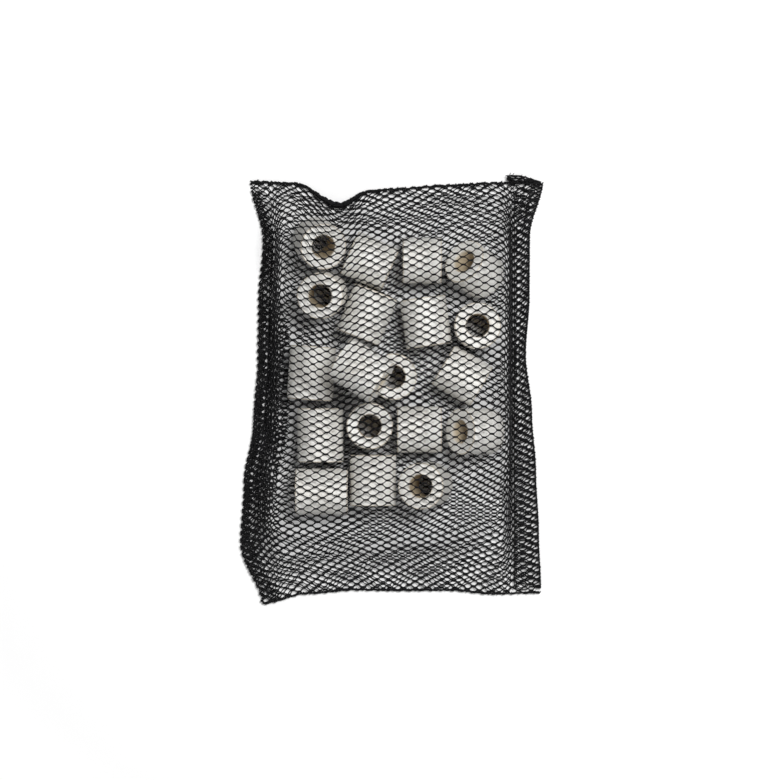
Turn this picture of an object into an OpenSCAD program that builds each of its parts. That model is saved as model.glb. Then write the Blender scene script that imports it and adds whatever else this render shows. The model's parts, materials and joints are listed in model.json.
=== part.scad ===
// Net bag of ceramic filter rings for a pond or aquarium filter.
// The bag lies flat on its back panel: +Z is up, +Y runs towards its mouth,
// and the origin is the centre of its footprint on the ground.

/* [Rings] */
// Outside diameter of a ceramic ring
ring_od = 15; // [12:0.5:18]
// Usual length of a ring
ring_length = 16.5; // [14:0.5:19]
// Diameter of the hole through a ring
ring_bore = 7; // [5:0.5:9]
// Rounding of the edges of a ring
ring_edge = 0.5; // [0.2:0.1:0.9]

/* [Net] */
// Thickness of one ply of net
ply = 0.6; // [0.4:0.1:1]
// Width of a strand of the net
strand = 1; // [0.7:0.1:1.4]
// Length of the knitted bar between two openings
knot_bar = 2.4; // [1.6:0.1:3]
// Spacing of the openings across the bag
mesh_w = 7.8; // [7:0.2:12]
// Spacing of the openings along the bag
mesh_h = 7.8; // [7:0.2:12]
// Length over which the net falls away beside a ring
drape_reach = 9; // [7:0.5:14]

/* [Bag] */
// Empty net between the rings and the folded left edge
left_room = 11.6; // [8:0.2:20]
// Net between the rings and the seam on the right
right_room = 3; // [2.6:0.2:8]
// Empty net between the rings and the mouth
top_room = 10.6; // [8:0.2:24]
// Empty net between the rings and the bottom edge
bottom_room = 26; // [14:0.5:40]
// Net left outside the seam on the right
seam_allowance = 6.4; // [5.8:0.2:12]
// Width of the turned hem along the mouth
hem_w = 2.2; // [1.6:0.1:3]
// Width of the fold along the left edge
fold_w = 2.4; // [1.6:0.1:3]
// Width of the edging along the bottom
edging_w = 1.2; // [0.8:0.1:2]

/* [Sewing] */
// Length of one stitch
stitch = 3; // [2:0.2:5]
// Width of the sewing thread
thread = 0.8; // [0.6:0.1:1.2]
// Height by which the frayed seam tail stands past the mouth
tail_h = 2.2; // [1:0.2:4]
// Width of the frayed seam tail
tail_w = 9; // [6:0.5:12]

/* [Fits] */
// Clearance between two plies, and between a ring and the net below it
ply_gap = 0.2; // [0.1:0.1:0.5]
// Clearance between the rings and the net drawn over them
drape_gap = 1.2; // [1:0.1:2]

/* [Hidden] */
// Ring size for which the pile below was laid out
laid_od = 15;
laid_length = 16.5;
// The pile, in rows from the mouth down: place across, place along, lift,
// turn of the axis, lean of the axis (0 lies, 90 stands), extra length
pile = [
    [-22.64, 46.76, 0, 315, 74, -1],
    [-6.53, 41.05, 0, -24, 0, -1.5],
    [10.07, 41.3, 0, 0, 0, -3.8],
    [26.8, 38.4, 0, 145, 45, -3],
    [-21.6, 30.4, 0, 225, 83, 0],
    [-7.54, 23.99, 0, 68, 0, 0],
    [11.31, 21.67, 0, 98, 0, -0.5],
    [27.6, 20.4, 0, 0, 90, 0],
    [-25.2, 5.4, 0, 86, 0, 1],
    [-9.1, 6.1, 15.5, -32, 8, 0],
    [1.0, 4.2, 0, 0, 90, 0],
    [22.91, 4.63, 0, -31, 0, -1.5],
    [-22.4, -14.4, 0, 90, 0, 1],
    [-6.6, -11.4, 0, 0, 90, 0],
    [9.2, -12.6, 0, 0, 0, -2],
    [26.887, -13.2, 0, 180, 38, -3],
    [-22.0, -32.4, 0, 0, 0, 0.5],
    [-5.6, -28.8, 0, 90, 0, 0],
    [11.2, -30.4, 0, 180, 78, 0]
];
// Sway of each edge from a straight line, at even steps from the bottom up
// or from left to right
left_sway = [3.2, -3.5, -2.4, 0.7, 2.0, 2.2, 3.7, -0.3];
right_sway = [2.2, 1.5, 0.6, -0.7, -2.7, -1.5, -1.4, 3];
top_sway = [1.2, 0.6, -5.8, -1.2, -0.1, 0.7, 1.2];
bottom_sway = [-3.1, 0.2, 1.4, 1.2, 1.3, 0.1, 0.4];

net_colour = [0.09, 0.09, 0.1];
thread_colour = [0.16, 0.16, 0.17];
ring_colour = [0.9, 0.88, 0.83];

// The pile spreads with the rings, so that a larger ring still has its room
spread = max(ring_od / laid_od, ring_length / laid_length);
ring_floor = ply + ply_gap;

function ring_x(i) = pile[i][0] * spread;
function ring_y(i) = pile[i][1] * spread;
function ring_turn(i) = pile[i][3];
function ring_lean(i) = pile[i][4];
function ring_len(i) = ring_length + pile[i][5];
function ring_axis(i) = [
    cos(ring_lean(i)) * cos(ring_turn(i)),
    cos(ring_lean(i)) * sin(ring_turn(i)),
    sin(ring_lean(i))
];
// Half of what ring i takes up along X, Y or Z
function ring_half(i, d) = let (a = ring_axis(i)[d])
    ring_len(i) / 2 * abs(a) + ring_od / 2 * sqrt(max(0, 1 - a * a));
function ring_z(i) = ring_floor + pile[i][2] * spread + ring_half(i, 2);
function ring_top(i) = ring_z(i) + ring_half(i, 2);

RING_COUNT = len(pile);
pile_left = min([for (i = [0 : RING_COUNT - 1]) ring_x(i) - ring_half(i, 0)]);
pile_right = max([for (i = [0 : RING_COUNT - 1]) ring_x(i) + ring_half(i, 0)]);
pile_bottom = min([for (i = [0 : RING_COUNT - 1]) ring_y(i) - ring_half(i, 1)]);
pile_top = max([for (i = [0 : RING_COUNT - 1]) ring_y(i) + ring_half(i, 1)]);
// Height that a ring reaches lying flat or standing straight
layer_top = ring_floor + max(ring_od, ring_length);

bag_left = pile_left - left_room;
seam_x = pile_right + right_room;
bag_right = seam_x + seam_allowance;
bag_top = pile_top + top_room;
bag_bottom = pile_bottom - bottom_room;
// Shift that puts the middle of the footprint at the origin
mid_x = (bag_left + min(left_sway) + bag_right + max(right_sway)) / 2;
mid_y = (bag_bottom + min(bottom_sway) + bag_top + max(top_sway) + tail_h) / 2;

border_z = ply + ply_gap + ply / 2;
trim_z = border_z + ply / 2 + ply_gap;
crown_z = layer_top + drape_gap;

function ring_name(i) = str("ring_", i < 9 ? "0" : "", i + 1);
function mix(a, b, t) = a + (b - a) * t;
function held(t) = min(max(t, 0), 1);
function ease(t) = let (k = held(t)) k * k * (3 - 2 * k);

// Value at t from 0 to 1 on a soft curve through evenly spaced values
function along(values, t) = let (
        n = len(values) - 1,
        s = held(t) * n,
        i = min(floor(s), n - 1)
    )
    mix(values[i], values[i + 1], ease(s - i));

function left_x(v) = bag_left + along(left_sway, v);
function right_x(v) = bag_right + along(right_sway, v);
function top_y(u) = bag_top + along(top_sway, u);
function bottom_y(u) = bag_bottom + along(bottom_sway, u);

// Point of the flat bag, u from left to right and v from the bottom up
function flat(u, v) = [mix(left_x(v), right_x(v), u), mix(bottom_y(u), top_y(u), v)];

// Openings of a net, laid out in millimetres along the cloth
half_bar = knot_bar / 2;
function columns_in(w) = max(1, round((w + half_bar) / mesh_w) - 1);
function rows_in(h) = max(1, round(h / mesh_h - 0.5));
function column_pitch(w) = (w + 2 * (half_bar + strand)) / (columns_in(w) + 1);
function row_pitch(h) = h / (rows_in(h) + 0.5);
// Middle of column c, and of the opening in its row r, every other column half a row up
function column_mid(w, c) = column_pitch(w) * (c + 1) - half_bar - strand;
function row_mid(h, c, r) = row_pitch(h) * (r + 0.5 + (c % 2) / 2);
// The six corners of an opening, from its lower left one round to the left tip
function opening(w, h, c, r) = let (
        m = [column_mid(w, c), row_mid(h, c, r)],
        tip = column_pitch(w) - half_bar - strand,
        up = (row_pitch(h) - strand) / 2
    ) [
        m + [-half_bar, -up], m + [half_bar, -up], m + [tip, 0],
        m + [half_bar, up], m + [-half_bar, up], m + [-tip, 0]
    ];

// The front panel, as arc lengths along the cloth: flat edge, rise, crown, fall, flat edge
edge_gap = 3 * ply_gap + strand;
crest_left = pile_left - drape_gap;
crest_right = pile_right + drape_gap;
crest_bottom = pile_bottom - drape_gap;
crest_top = pile_top + drape_gap;
rise = crown_z - border_z;
fold_strip = fold_w + edge_gap;
seam_strip = thread / 2 + ply + ply_gap;
edging_strip = edging_w + edge_gap;
hem_strip = hem_w + edge_gap;
function sums(list, n) = n < 0 ? 0 : list[n] + sums(list, n - 1);
function steps_of(list) = [for (k = [-1 : len(list) - 1]) sums(list, k)];
across = steps_of([
    fold_strip,
    norm([crest_left - bag_left - fold_strip, rise]),
    crest_right - crest_left,
    norm([seam_x - seam_strip - crest_right, rise]),
    seam_strip
]);
upwards = steps_of([
    edging_strip,
    norm([crest_bottom - bag_bottom - edging_strip, rise]),
    crest_top - crest_bottom,
    norm([bag_top - hem_strip - crest_top, rise]),
    hem_strip
]);
height_steps = [0, 0, 1, 1, 0, 0];
function stepped(keys, values, t) = lookup(t, [for (k = [0 : len(keys) - 1]) [keys[k], values[k]]]);

// What holds the net up: middle, direction, half length and room of each ring's ridge, and its height
ridge_room = 0.42;
ridges = [for (i = [0 : RING_COUNT - 1]) [
    [ring_x(i), ring_y(i)],
    [cos(ring_turn(i)), sin(ring_turn(i))],
    ring_len(i) / 2 * cos(ring_lean(i)),
    ring_od / 2 * mix(ridge_room, 1, pow(sin(ring_lean(i)), 2)) + 0.2 * mesh_w,
    ring_top(i) + drape_gap - border_z
]];
function from_ridge(r, p) = let (q = p - r[0])
    max(0, norm([max(0, abs(q * r[1]) - r[2]), cross(r[1], q)]) - r[3]);
function total(v) = v * [for (k = v) 1];
// Height of the net over its border: it falls away from every ring, and the falls blend
blend = 10;
function lift(p) = pow(
    total([for (r = ridges) pow(r[4] * exp(-pow(from_ridge(r, p) / drape_reach, 1.75)), blend)]),
    1 / blend
);

// Point of the front panel at s along the cloth across the bag and t up the bag
function front(s, t) = let (
        v = (stepped(upwards, heights(bag_bottom, bag_top), t) - bag_bottom) / (bag_top - bag_bottom),
        x = stepped(across, [left_x(v), left_x(v) + fold_strip, crest_left,
            crest_right, seam_x - seam_strip, seam_x - ply_gap], s),
        u = (x - left_x(v)) / (right_x(v) - left_x(v)),
        y = stepped(upwards, heights(bottom_y(u), top_y(u)), t),
        up = stepped(across, height_steps, s) * stepped(upwards, height_steps, t)
    )
    [x, y, border_z + up * (2 - up) * lift([x, y])];
function heights(low, high) = [low, low + edging_strip, crest_bottom, crest_top, high - hem_strip, high];
// Step along the cloth over which its slope is taken
slip = 0.6;
function unit(v) = v / norm(v);
function front_normal(s, t) = unit(cross(
    front(min(s + slip, across[5]), t) - front(max(s - slip, 0), t),
    front(s, min(t + slip, upwards[5])) - front(s, max(t - slip, 0))
));

// Triangles between two chains of points, the left one first, both going up
function zip(grid, a, b) = [
    for (i = 0, j = 0, next_a = true;
        i < len(a) - 1 || j < len(b) - 1;
        next_a = takes_left(grid, a, b, i, j), i = next_a ? i + 1 : i, j = next_a ? j : j + 1)
    takes_left(grid, a, b, i, j) ? [a[i], a[i + 1], b[j]] : [a[i], b[j + 1], b[j]]
];
function takes_left(grid, a, b, i, j) = i < len(a) - 1
    && (j == len(b) - 1 || grid[a[i + 1]][1] <= grid[b[j + 1]][1]);
function quad(a, b, c, d) = [[a, b, c], [a, c, d]];

// One stretch of the front panel, a net over the cloth from corner a to corner b,
// with plain rims round its openings: left, right, bottom and top
module net_stretch(a, b, rims) {
    w = b[0] - a[0] - rims[0] - rims[1];
    h = b[1] - a[1] - rims[2] - rims[3];
    start = [a[0] + rims[0], a[1] + rims[2]];
    last_c = columns_in(w) - 1;
    last_r = rows_in(h) - 1;

    // Lines that bound the flat part of each rim
    flats = [for (r = rims) r - strand];
    left_lines = flats[0] > 0 ? [a[0], a[0] + flats[0]] : [a[0]];
    right_lines = flats[1] > 0 ? [b[0] - flats[1], b[0]] : [b[0]];
    low_lines = flats[2] > 0 ? [a[1], a[1] + flats[2]] : [a[1]];
    high_lines = flats[3] > 0 ? [b[1] - flats[3], b[1]] : [b[1]];
    lows = len(low_lines);
    highs = len(high_lines);
    rim_steps = 2 * (last_r + 1);
    rim_rows = concat(
        low_lines,
        [for (k = [1 : rim_steps - 1]) mix(low_lines[lows - 1], high_lines[0], k / rim_steps)],
        high_lines
    );
    rim_size = len(rim_rows);
    per_column = 2 * lows + 6 * (last_r + 1) + 2 * highs;
    rims_start = (last_c + 1) * per_column;

    function bar_ends(c, lines) = [for (y = lines, k = [-1, 1])
        [start[0] + column_mid(w, c) + k * half_bar, y]];
    grid = concat(
        [for (c = [0 : last_c]) each concat(
            bar_ends(c, low_lines),
            [for (r = [0 : last_r], p = opening(w, h, c, r)) start + p],
            bar_ends(c, high_lines)
        )],
        [for (x = concat(left_lines, right_lines), y = rim_rows) [x, y]]
    );
    size = len(grid);

    // Point numbers: the ends of column c, the corners of its openings, and its two sides
    function low(c, n, k) = c * per_column + 2 * n + k;
    function corner(c, r, k) = c * per_column + 2 * lows + 6 * r + k;
    function high(c, n, k) = (c + 1) * per_column - 2 * highs + 2 * n + k;
    function side(c, k, turns) = concat(
        [for (n = [0 : lows - 1]) low(c, n, k)],
        [for (r = [0 : last_r], n = turns) corner(c, r, n)],
        [for (n = [0 : highs - 1]) high(c, n, k)]
    );
    function rim(n) = [for (k = [0 : rim_size - 1]) rims_start + n * rim_size + k];

    // Chains of points from left to right, the two sides of a column as a pair
    lefts = len(left_lines);
    chains = concat(
        [for (n = [0 : lefts - 1]) rim(n)],
        [for (c = [0 : last_c]) each [side(c, 0, [0, 5, 4]), side(c, 1, [1, 2, 3])]],
        [for (n = [0 : len(right_lines) - 1]) rim(lefts + n)]
    );
    last = len(chains) - 1;
    function is_column(m) = m >= lefts && m < lefts + 2 * last_c + 1 && (m - lefts) % 2 == 0;
    // A column is solid between its openings: the first and last corners of each are skipped
    function bars(m) = let (p = chains[m], q = chains[m + 1]) [
        for (k = [0 : len(p) - 2])
            let (in_opening = k >= lows && k < len(p) - highs && (k - lows) % 3 != 2)
                if (!in_opening) each quad(p[k], p[k + 1], q[k + 1], q[k])
    ];
    upper = [for (m = [0 : last - 1])
        each is_column(m) ? bars(m) : zip(grid, chains[m], chains[m + 1])];
    lower = [for (f = upper) [f[2] + size, f[1] + size, f[0] + size]];
    outer = concat(
        [for (m = [0 : last]) chains[m][0]],
        [for (k = [1 : rim_size - 1]) chains[last][k]],
        [for (m = [last - 1 : -1 : 0]) chains[m][len(chains[m]) - 1]],
        [for (k = [rim_size - 2 : -1 : 1]) chains[0][k]]
    );
    function wall(p, q) = quad(p, q, q + size, p + size);
    walls = concat(
        [for (k = [0 : len(outer) - 1]) each wall(outer[k], outer[(k + 1) % len(outer)])],
        [for (c = [0 : last_c], r = [0 : last_r], k = [0 : 5])
            each wall(corner(c, r, (k + 1) % 6), corner(c, r, k))]
    );

    points = [for (g = grid) front(g[0], g[1])];
    normals = [for (g = grid) front_normal(g[0], g[1]) * ply / 2];
    color(net_colour)
        translate([-mid_x, -mid_y, 0])
            polyhedron(concat(points + normals, points - normals), concat(upper, lower, walls));
}

// Flat strip between two curves, each given as a list of points from end to end
module strip(near, far, z, t) {
    translate([-mid_x, -mid_y, z])
        linear_extrude(t)
            polygon(concat(near, [for (k = [len(far) - 1 : -1 : 0]) far[k]]));
}

// Sewing thread along a list of points, waisted between the stitches
module stitches(path, z) {
    sides = [for (k = [0 : len(path) - 1]) let (
            ahead = path[min(k + 1, len(path) - 1)] - path[max(k - 1, 0)],
            side = unit([-ahead[1], ahead[0]]),
            half = (k % 3 == 0 ? thread / 2 : thread) / 2
        ) [path[k] + side * half, path[k] - side * half]];
    strip([for (p = sides) p[0]], [for (p = sides) p[1]], z, ply);
}
// Stitch points on a curve f from a to b: three to a stitch
function stitch_count(length) = 3 * max(2, round(length / stitch));

module back_net() {
    size = [bag_right - bag_left - 2 * fold_w, bag_top - bag_bottom - edging_w - hem_w];
    whole = [bag_right - bag_left, bag_top - bag_bottom];
    n = 24;
    color(net_colour)
        translate([-mid_x, -mid_y, 0])
            linear_extrude(ply)
                difference() {
                    polygon(concat(
                        [for (k = [0 : n - 1]) flat(k / n, 0)],
                        [for (k = [0 : n - 1]) flat(1, k / n)],
                        [for (k = [0 : n - 1]) flat(1 - k / n, 1)],
                        [for (k = [0 : n - 1]) flat(0, 1 - k / n)]
                    ));
                    for (c = [0 : columns_in(size[0]) - 1], r = [0 : rows_in(size[1]) - 1])
                        polygon([for (p = opening(size[0], size[1], c, r))
                            flat((p[0] + fold_w) / whole[0], (p[1] + edging_w) / whole[1])]);
                }
}

// The stretches of the front panel, cut apart along the bends over the rings
cut = 0.75 * ply;

module front_crown_net() {
    net_stretch(
        [across[2] + cut, upwards[2] + cut],
        [across[3] - cut, upwards[3] - cut],
        [strand, strand, strand, strand]
    );
}

module front_left_net() {
    net_stretch(
        [0, upwards[2] + cut],
        [across[2] - cut, upwards[3] - cut],
        [fold_strip, strand, strand, strand]
    );
}

module front_right_net() {
    net_stretch(
        [across[3] + cut, upwards[2] + cut],
        [across[5], upwards[3] - cut],
        [strand, seam_strip + strand, strand, strand]
    );
}

module front_bottom_net() {
    net_stretch(
        [0, 0],
        [across[5], upwards[2] - cut],
        [fold_strip, seam_strip + strand, edging_strip, strand]
    );
}

module front_mouth_net() {
    net_stretch(
        [0, upwards[3] + cut],
        [across[5], upwards[5]],
        [fold_strip, seam_strip + strand, strand, hem_strip]
    );
}

module seam_allowance_band() {
    n = 48;
    start = seam_x + ply_gap;
    rows = rows_in(bag_top - bag_bottom);
    function edge(v) = [right_x(v), flat(1, v)[1]];
    outline = concat(
        [for (k = [0 : n]) edge(k / n)],
        [[start, top_y(1)], [start, bottom_y(1)]]
    );
    openings = [
        for (r = [0 : rows - 1]) let (
            v = (r + 1) / (rows + 1),
            y = flat(1, v)[1],
            tip = (right_x(v) - start) / 2 - strand,
            up = (row_pitch(bag_top - bag_bottom) - strand) / 2,
            mid = [(right_x(v) + start) / 2, y]
        ) each [mid + [0, -up], mid + [tip, 0], mid + [0, up], mid + [-tip, 0]]
    ];
    paths = concat(
        [[for (k = [0 : len(outline) - 1]) k]],
        [for (i = [0 : rows - 1]) [for (k = [0 : 3]) len(outline) + 4 * i + k]]
    );
    color(net_colour)
        translate([-mid_x, -mid_y, border_z - ply / 2])
            linear_extrude(ply)
                polygon(concat(outline, openings), paths);
}

module mouth_hem() {
    n = 36;
    far = [for (k = [0 : n]) flat(k / n, 1)];
    color(net_colour)
        strip([for (p = far) p - [0, hem_w]], far, trim_z, ply);
}

module bottom_edging() {
    n = 36;
    near = [for (k = [0 : n]) flat(k / n, 0)];
    color(net_colour)
        strip(near, [for (p = near) p + [0, edging_w]], trim_z, ply);
}

// Share of the left edge that the fold covers, clear of the hem and the edging
fold_from = (edging_w + 2 * ply_gap) / (bag_top - bag_bottom) * 2;
fold_to = 1 - (hem_w + 2 * ply_gap) / (bag_top - bag_bottom) * 2;

module left_fold() {
    n = 42;
    near = [for (k = [0 : n]) flat(0, mix(fold_from, fold_to, k / n))];
    color(net_colour)
        strip([for (p = near) p + [fold_w, 0]], near, trim_z, ply);
}

module side_seam_stitches() {
    share = (seam_x - bag_left) / (bag_right - bag_left);
    from = max(bottom_y(share), bottom_y(1)) + edging_w + 3 * ply_gap;
    to = min(top_y(share), top_y(1)) - hem_w - 3 * ply_gap;
    n = stitch_count(to - from);
    color(thread_colour)
        stitches([for (k = [0 : n]) [seam_x, mix(from, to, k / n)]], trim_z);
}

tail_from = 1 - (tail_w + seam_allowance) / (bag_right - bag_left);

module mouth_stitches() {
    n = stitch_count(bag_right - bag_left);
    color(thread_colour)
        stitches(
            [for (k = [0 : n]) flat(mix(0.02, tail_from - 0.01, k / n), 1) - [0, hem_w / 2]],
            trim_z + ply + ply_gap
        );
}

module fold_stitches() {
    n = stitch_count(bag_top - bag_bottom);
    color(thread_colour)
        stitches(
            [for (k = [0 : n]) flat(0, mix(fold_from, fold_to, k / n)) + [fold_w / 2, 0]],
            trim_z + ply + ply_gap
        );
}

// Frayed end of the seam, a comb of loose strands past the mouth
module seam_tail() {
    teeth = 5;
    tooth = tail_w / (2 * teeth - 1);
    base = flat(tail_from, 1);
    color(net_colour)
        translate([-mid_x, -mid_y, trim_z + ply + ply_gap])
            linear_extrude(ply)
                polygon(concat(
                    [base + [tail_w, -hem_w / 2], base + [0, -hem_w / 2]],
                    [for (k = [0 : teeth - 1], side = [0, 1])
                        each let (
                            x = tooth * (2 * k + side),
                            reach = tail_h * (k % 2 == 0 ? 1 : 0.6),
                            y = flat(1, 1)[1] - base[1]
                        ) side == 0 ? [base + [x, 0], base + [x, y + reach]]
                            : [base + [x, y + reach], base + [x, 0]]]
                ));
}

module ring(i) {
    l = ring_len(i) / 2;
    o = ring_od / 2;
    b = ring_bore / 2;
    e = min(ring_edge, (o - b) / 3);
    color(ring_colour)
        translate([ring_x(i) - mid_x, ring_y(i) - mid_y, ring_z(i)])
            rotate([0, 90 - ring_lean(i), ring_turn(i)])
                rotate_extrude($fn = 96)
                    polygon([
                        [b, -l + e], [b + e, -l], [o - e, -l], [o, -l + e],
                        [o, l - e], [o - e, l], [b + e, l], [b, l - e]
                    ]);
}

back_net();
front_crown_net();
front_left_net();
front_right_net();
front_bottom_net();
front_mouth_net();
seam_allowance_band();
mouth_hem();
left_fold();
bottom_edging();
side_seam_stitches();
mouth_stitches();
fold_stitches();
seam_tail();
for (i = [0 : RING_COUNT - 1])
    ring(i);
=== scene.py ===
"""Net bag of loose ceramic filter rings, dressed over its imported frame."""
import json
import logging
import math
from collections.abc import Callable
from dataclasses import dataclass, field
from enum import Enum
from functools import cache

import bmesh
import bpy
import numpy as np
from mathutils import Matrix, Vector


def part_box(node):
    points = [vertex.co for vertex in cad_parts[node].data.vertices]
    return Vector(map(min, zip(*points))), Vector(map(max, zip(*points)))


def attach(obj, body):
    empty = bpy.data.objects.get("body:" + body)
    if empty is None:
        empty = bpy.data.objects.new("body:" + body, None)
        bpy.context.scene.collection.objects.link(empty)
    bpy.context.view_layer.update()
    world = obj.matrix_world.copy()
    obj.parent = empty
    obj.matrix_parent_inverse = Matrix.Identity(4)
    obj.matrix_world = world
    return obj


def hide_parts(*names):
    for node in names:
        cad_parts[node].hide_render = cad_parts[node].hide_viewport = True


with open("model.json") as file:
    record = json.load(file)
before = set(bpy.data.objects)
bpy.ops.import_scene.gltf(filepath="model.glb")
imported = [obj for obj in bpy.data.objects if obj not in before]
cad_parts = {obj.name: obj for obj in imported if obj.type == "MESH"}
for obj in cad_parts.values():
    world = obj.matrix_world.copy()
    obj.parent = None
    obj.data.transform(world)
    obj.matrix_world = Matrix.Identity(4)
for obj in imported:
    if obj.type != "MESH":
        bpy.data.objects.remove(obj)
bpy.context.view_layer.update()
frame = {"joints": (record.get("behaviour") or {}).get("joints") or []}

logging.basicConfig(level=logging.INFO, format="%(message)s")
LOG = logging.getLogger("ring_bag")
MM = 0.001
UP = np.array([0.0, 0.0, 1.0])
WHITE = (1.0, 1.0, 1.0, 1.0)
Array = np.ndarray
Piece = bpy.types.Object
Socket = bpy.types.NodeSocket
Pair = tuple[float, float]
Triple = tuple[float, float, float]
Color = tuple[float, float, float, float]
Term = Socket | float | Color


class Slot(Enum):
    """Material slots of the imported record."""

    NET = "net"
    THREAD = "thread"
    CERAMIC = "ceramic"


class Hold(Enum):
    """How a sheet of net is held."""

    DRAPED = "draped"
    LAID = "laid"


def hump(t: Array, place: float, width: float, power: float = 2) -> Array:
    """Rise to 1 at a place, fallen to about a third a width away; a higher power makes it squarer."""
    return np.exp(-((t - place) / width) ** power)


def between(grid: Array, row: Array, column: Array) -> Array:
    """Read a grid of vectors between its points.

    Args:
        grid: A vector for each row and column.
        row: Rows to read, with fractions.
        column: Columns to read, with fractions.

    Returns:
        The vectors there.
    """
    j, i = row.astype(int), column.astype(int)
    b, a = (row - j)[..., None], (column - i)[..., None]
    low = grid[j, i] * (1 - a) + grid[j, i + 1] * a
    high = grid[j + 1, i] * (1 - a) + grid[j + 1, i + 1] * a
    return low * (1 - b) + high * b


# Shader nodes


class NodeBoard:
    """Nodes of one material, world or shader group, with short ways to add to them."""

    def __init__(self, tree: bpy.types.NodeTree) -> None:
        """Keep the tree's nodes and links."""
        self.nodes, self.links = tree.nodes, tree.links

    def feed(self, socket: Socket, term: Term) -> None:
        """Link a socket to another, or set its value.

        Args:
            socket: The socket to feed.
            term: Another socket, a number or a colour.
        """
        if isinstance(term, Socket):
            self.links.new(term, socket)
        else:
            socket.default_value = term

    def wire(self, node: bpy.types.Node, **terms: Term) -> bpy.types.Node:
        """Feed a node's inputs.

        Args:
            node: The node.
            terms: Names of its inputs, with _ for a space, and what feeds them.

        Returns:
            The same node.
        """
        for name, term in terms.items():
            self.feed(node.inputs[name.replace("_", " ")], term)
        return node

    def add(self, kind: str, **terms: Term) -> bpy.types.Node:
        """Add a node, feed its inputs and return it."""
        return self.wire(self.nodes.new(kind), **terms)

    def group(self, tree: bpy.types.NodeTree, **terms: Term) -> bpy.types.bpy_prop_collection:
        """Place a shader group with its own values.

        Args:
            tree: The group.
            terms: Names of its inputs and what feeds them.

        Returns:
            The outputs of the placed group.
        """
        node = self.nodes.new("ShaderNodeGroup")
        node.node_tree = tree
        return self.wire(node, **terms).outputs

    def math(self, operation: str, *terms: Term) -> Socket:
        """Calculate with sockets and numbers.

        Args:
            operation: Blender's name of the operation.
            terms: Sockets or numbers, in its order.

        Returns:
            The result.
        """
        node = self.nodes.new("ShaderNodeMath")
        node.operation = operation
        for socket, term in zip(node.inputs, terms):
            self.feed(socket, term)
        return node.outputs[0]

    def mix(self, share: Term, first: Term, second: Term) -> Socket:
        """Blend two colours.

        Args:
            share: 0 for the first colour, 1 for the second.
            first: The first colour.
            second: The second colour.

        Returns:
            The blended colour.
        """
        node = self.nodes.new("ShaderNodeMix")
        node.data_type = "RGBA"
        for number, term in ((0, share), (6, first), (7, second)):
            self.feed(node.inputs[number], term)
        return node.outputs[2]

    def place(self) -> Socket:
        """Object coordinates."""
        return self.nodes.new("ShaderNodeTexCoord").outputs["Object"]

    def seen(self) -> Socket:
        """Tell the rays that show a backdrop from those that light with it.

        Returns:
            1 for rays that are seen, straight, mirrored or through glass, and 0 for the others.
        """
        path = self.nodes.new("ShaderNodeLightPath").outputs
        mirrored = self.math("MAXIMUM", path["Is Camera Ray"], path["Is Glossy Ray"])
        return self.math("MAXIMUM", mirrored, path["Is Transmission Ray"])


class Palette(NodeBoard):
    """A node material in the making."""

    def __init__(self, name: str) -> None:
        """Start a node material.

        Args:
            name: Name of the material.
        """
        self.material = bpy.data.materials.new(name)
        self.material.use_nodes = True
        super().__init__(self.material.node_tree)
        self.shader = self.nodes["Principled BSDF"]

    def coat(self, **terms: Term) -> None:
        """Feed the shader's inputs, named with _ for a space."""
        self.wire(self.shader, **terms)

    def bump(self, height: Socket, depth: float, strength: float) -> None:
        """Feed the shader's normal from a height, as a share of a relief so many millimetres deep."""
        node = self.add("ShaderNodeBump", Height=height, Distance=depth * MM, Strength=strength)
        self.coat(Normal=node.outputs["Normal"])


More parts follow.
